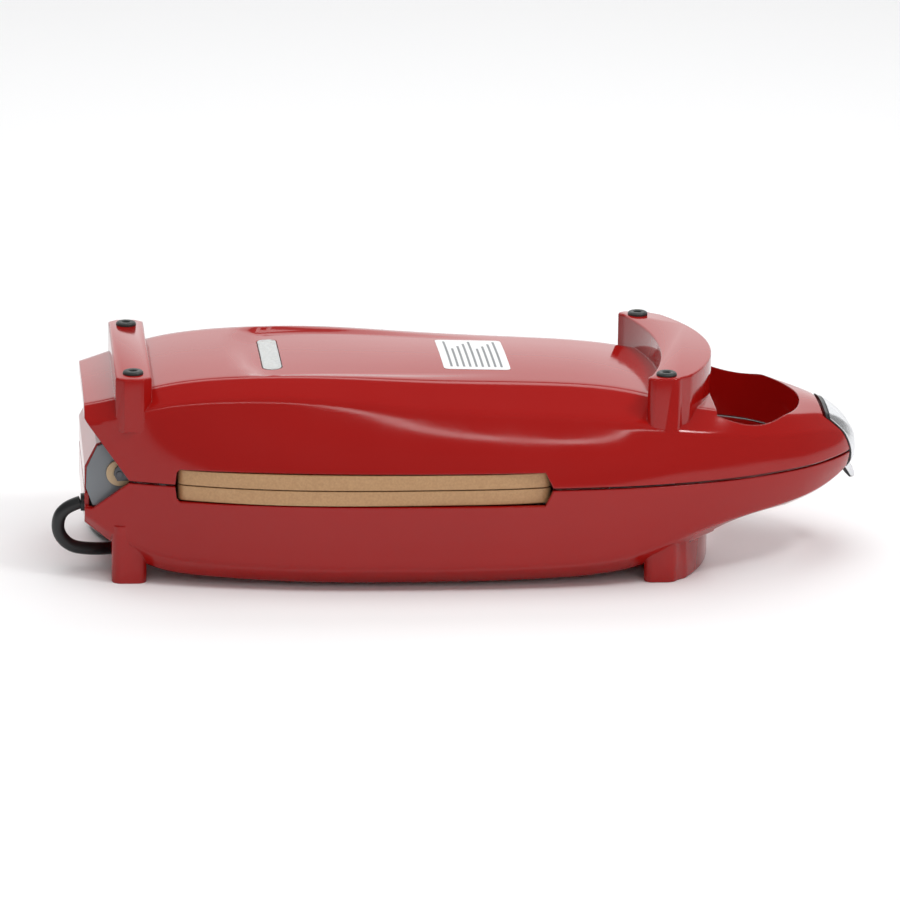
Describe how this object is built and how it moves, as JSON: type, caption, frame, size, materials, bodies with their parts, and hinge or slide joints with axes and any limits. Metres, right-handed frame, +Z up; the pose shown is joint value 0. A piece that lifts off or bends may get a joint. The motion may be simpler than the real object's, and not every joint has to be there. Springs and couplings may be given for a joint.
{
  "type": "donut maker",
  "caption": "Clamshell electric donut maker, lying closed on its feet, with a hinged lid, ring-shaped cooking cups, a D-shaped handle, a nose latch and a mains cord.",
  "frame": {"origin": "on the resting surface under the middle of the body, cord left out", "axes": "+X from the hinge to the handle and latch, +Y across the body, +Z up"},
  "size_m": [0.3914, 0.276, 0.1021],
  "materials": {
    "red_gloss": "high gloss dark red, moulded",
    "hinge_grey": "smooth grey",
    "tan_plastic": "satin tan",
    "steel": "zinc-plated, fine scratches",
    "frame_steel": "dark plated sheet",
    "plate_coating": "satin copper-tan non-stick coating",
    "element_steel": "heat-tinted tube",
    "black_plastic": "fine grained",
    "wire_sleeve": "braided glass sleeve",
    "clear_lens": "clear, with a soft pattern inside",
    "lamp_glass": "small neon lamps",
    "label_white": null,
    "pad_rubber": "matt",
    "latch_silver": "satin silver",
    "cord_black": "satin black sheath",
    "brass_pins": "bright"
  },
  "bodies": {
    "base": {"base_shell": "red_gloss", "hinge_tower": "red_gloss", "hinge_cheek_near": "hinge_grey", "hinge_cheek_far": "hinge_grey", "pivot_bush_near": "tan_plastic", "pivot_bush_far": "tan_plastic", "pivot_pin_near": "frame_steel", "pivot_pin_far": "frame_steel", "base_frame": "frame_steel", "lower_plate": "plate_coating", "lower_element": "element_steel", "lower_element_clamps": "steel", "lower_screws": "steel", "thermostat": "black_plastic", "thermal_fuse": "steel", "terminal_block": "tan_plastic", "fuse_wire": "wire_sleeve", "thermostat_wire": "wire_sleeve", "strain_relief": "cord_black", "power_cord": "cord_black", "cord_tail": "cord_black", "cord_coil": "cord_black", "plug_body": "cord_black", "plug_pins": "brass_pins"},
    "lid": {"lid_shell": "red_gloss", "lid_frame": "frame_steel", "upper_plate": "plate_coating", "upper_element": "element_steel", "upper_element_clamps": "steel", "upper_screws": "steel", "indicator_lens": "clear_lens", "lamp_holder": "black_plastic", "indicator_lamps": "lamp_glass", "rating_label": "label_white", "rubber_pads": "pad_rubber", "latch_pin": "steel", "latch_spring": "steel"},
    "latch": {"latch_cover": "latch_silver", "latch_liner": "black_plastic"}
  },
  "joints": [
    {"name": "lid_hinge", "type": "hinge", "parent": "base", "child": "lid", "pos_m": [-0.1706, 0, 0.0526], "axis": [0, -1, 0], "range_deg": [0, 90]},
    {"name": "latch_hinge", "type": "hinge", "parent": "lid", "child": "latch", "pos_m": [0.1724, 0, 0.0647], "axis": [0, -1, 0], "range_deg": [0, 15], "stiffness_Nm_per_rad": 0.05}
  ]
}
